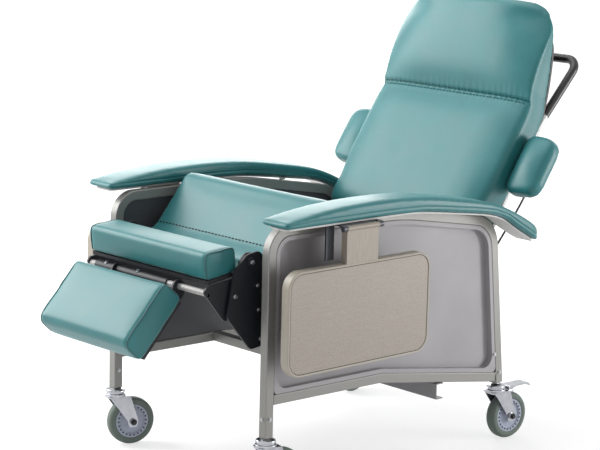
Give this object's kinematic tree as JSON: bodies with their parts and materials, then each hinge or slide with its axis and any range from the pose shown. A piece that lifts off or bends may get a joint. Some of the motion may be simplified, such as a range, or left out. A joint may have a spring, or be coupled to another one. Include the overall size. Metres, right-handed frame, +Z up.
{
  "type": "geriatric chair",
  "caption": "Reclining care chair on swivel casters with padded arms, moulded side panels, folding side trays, a push grip and a hinged leg rest.",
  "frame": {"origin": "centre of the bounding box's footprint, on the floor", "axes": "+Z up, the sitter faces -Y, +X to the sitter's left"},
  "size_m": [0.798, 1.5298, 1.164],
  "materials": {
    "teal_vinyl": "coated vinyl over foam, soft sheen",
    "panel_grey": "fine moulded texture",
    "frame_silver": "silver powder coat",
    "mechanism_black": "black powder coat",
    "board_black": "painted plywood",
    "board_pale": "sealed board",
    "bright_steel": "zinc plate",
    "hinge_beige": "satin paint",
    "tray_laminate": "speckled laminate",
    "shell_black": "fine moulded texture",
    "grip_black": "smooth sleeve with a low sheen",
    "cable_black": "smooth sheath",
    "tube_white": "gloss paint",
    "chrome": "polished plate",
    "hub_grey": "moulded",
    "tyre_grey": "non-marking rubber"
  },
  "bodies": {
    "base": {"side_frame_left": "frame_silver", "side_frame_right": "frame_silver", "lower_rail_left": "frame_silver", "lower_rail_right": "frame_silver", "side_panel_left": "panel_grey", "side_panel_right": "panel_grey", "armrest_pad_left": "teal_vinyl", "armrest_pad_right": "teal_vinyl", "armrest_board_left": "board_pale", "armrest_board_right": "board_pale", "tray_bracket_left": "bright_steel", "tray_bracket_right": "bright_steel", "front_cross_tube": "frame_silver", "rear_cross_channel": "mechanism_black"},
    "tray_left": {"tray_arm_left": "hinge_beige", "tray_top_left": "tray_laminate"},
    "tray_right": {"tray_arm_right": "hinge_beige", "tray_top_right": "tray_laminate"},
    "seat": {"seat_cushion": "teal_vinyl", "seat_deck": "board_black", "seat_cross_tubes": "mechanism_black", "seat_plate_left": "mechanism_black", "seat_plate_right": "mechanism_black"},
    "back": {"back_cushion": "teal_vinyl", "head_cushion": "teal_vinyl", "back_shell": "shell_black", "push_grip": "grip_black", "wing_brackets": "bright_steel", "lever_clamp": "mechanism_black", "release_cable": "cable_black", "cable_anchor": "mechanism_black", "back_tube_left": "tube_white", "back_tube_right": "tube_white", "back_arm_left": "mechanism_black", "back_arm_right": "mechanism_black", "wing_pad_left": "teal_vinyl", "wing_pad_right": "teal_vinyl"},
    "release_lever": {"release_lever": "shell_black"},
    "calf": {"calf_tube": "tube_white", "calf_board": "board_black", "calf_cushion": "teal_vinyl", "calf_plate_left": "mechanism_black", "calf_plate_right": "mechanism_black"},
    "foot": {"foot_arms": "mechanism_black", "foot_board": "board_black", "foot_cushion": "teal_vinyl"},
    "caster_front_left": {"caster_fork_front_left": "chrome"},
    "wheel_front_left": {"wheel_hub_front_left": "hub_grey", "wheel_tyre_front_left": "tyre_grey"},
    "caster_front_right": {"caster_fork_front_right": "chrome"},
    "wheel_front_right": {"wheel_hub_front_right": "hub_grey", "wheel_tyre_front_right": "tyre_grey"},
    "caster_rear_left": {"caster_fork_rear_left": "chrome"},
    "wheel_rear_left": {"wheel_hub_rear_left": "hub_grey", "wheel_tyre_rear_left": "tyre_grey"},
    "caster_rear_right": {"caster_fork_rear_right": "chrome"},
    "wheel_rear_right": {"wheel_hub_rear_right": "hub_grey", "wheel_tyre_rear_right": "tyre_grey"},
    "brake_pedal_rear_left": {"brake_pedal_rear_left": "chrome"},
    "brake_pedal_rear_right": {"brake_pedal_rear_right": "chrome"}
  },
  "joints": [
    {"name": "seat_tilt", "type": "hinge", "parent": "base", "child": "seat", "pos_m": [0, 0.351, 0.43], "axis": [1, 0, 0], "range_deg": [-2.5, 12]},
    {"name": "back_recline", "type": "hinge", "parent": "seat", "child": "back", "pos_m": [0, 0.296, 0.478], "axis": [1, 0, 0], "range_deg": [-24, 6]},
    {"name": "calf_swing", "type": "hinge", "parent": "seat", "child": "calf", "pos_m": [0, -0.44, 0.588], "axis": [1, 0, 0], "range_deg": [-16, 74]},
    {"name": "foot_swing", "type": "hinge", "parent": "calf", "child": "foot", "pos_m": [0, -0.562, 0.523], "axis": [1, 0, 0], "range_deg": [-43, 9.5]},
    {"name": "tray_left_lift", "type": "hinge", "parent": "base", "child": "tray_left", "pos_m": [0.392, -0.2075, 0.6726], "axis": [0, -1, 0], "range_deg": [0, 90]},
    {"name": "tray_right_lift", "type": "hinge", "parent": "base", "child": "tray_right", "pos_m": [-0.392, -0.2075, 0.6726], "axis": [0, 1, 0], "range_deg": [0, 90]},
    {"name": "release_squeeze", "type": "hinge", "parent": "back", "child": "release_lever", "pos_m": [0.132, 0.71914, 0.97494], "axis": [0, -0.7254, 0.6884], "range_deg": [-8, 0], "stiffness_Nm_per_rad": 1.2},
    {"name": "caster_swivel_front_left", "type": "hinge", "parent": "base", "child": "caster_front_left", "pos_m": [0.29775, -0.4266, 0.17], "axis": [0, 0, 1], "continuous": true},
    {"name": "wheel_spin_front_left", "type": "hinge", "parent": "caster_front_left", "child": "wheel_front_left", "pos_m": [0.30504, -0.38524, 0.0635], "axis": [0.9848, -0.1736, 0], "continuous": true},
    {"name": "caster_swivel_front_right", "type": "hinge", "parent": "base", "child": "caster_front_right", "pos_m": [-0.29775, -0.4266, 0.17], "axis": [0, 0, 1], "continuous": true},
    {"name": "wheel_spin_front_right", "type": "hinge", "parent": "caster_front_right", "child": "wheel_front_right", "pos_m": [-0.28477, -0.38666, 0.0635], "axis": [0.9511, -0.309, 0], "continuous": true},
    {"name": "caster_swivel_rear_left", "type": "hinge", "parent": "base", "child": "caster_rear_left", "pos_m": [0.29775, 0.408, 0.17], "axis": [0, 0, 1], "continuous": true},
    {"name": "wheel_spin_rear_left", "type": "hinge", "parent": "caster_rear_left", "child": "wheel_rear_left", "pos_m": [0.30068, 0.4499, 0.0635], "axis": [0.9976, -0.0698, 0], "continuous": true},
    {"name": "brake_pedal_rear_left", "type": "hinge", "parent": "caster_rear_left", "child": "brake_pedal_rear_left", "pos_m": [0.30033, 0.44491, 0.142], "axis": [0.9976, -0.0698, 0], "range_deg": [-10, 0], "stiffness_Nm_per_rad": 2},
    {"name": "caster_swivel_rear_right", "type": "hinge", "parent": "base", "child": "caster_rear_right", "pos_m": [-0.29775, 0.408, 0.17], "axis": [0, 0, 1], "continuous": true},
    {"name": "wheel_spin_rear_right", "type": "hinge", "parent": "caster_rear_right", "child": "wheel_rear_right", "pos_m": [-0.30287, 0.44969, 0.0635], "axis": [0.9925, 0.1219, 0], "continuous": true},
    {"name": "brake_pedal_rear_right", "type": "hinge", "parent": "caster_rear_right", "child": "brake_pedal_rear_right", "pos_m": [-0.30226, 0.44472, 0.142], "axis": [0.9925, 0.1219, 0], "range_deg": [-10, 0], "stiffness_Nm_per_rad": 2}
  ],
  "couplings": [
    {"joint": "calf_swing", "follows": "seat_tilt", "ratio": 6.08},
    {"joint": "foot_swing", "follows": "seat_tilt", "ratio": -3.5}
  ]
}
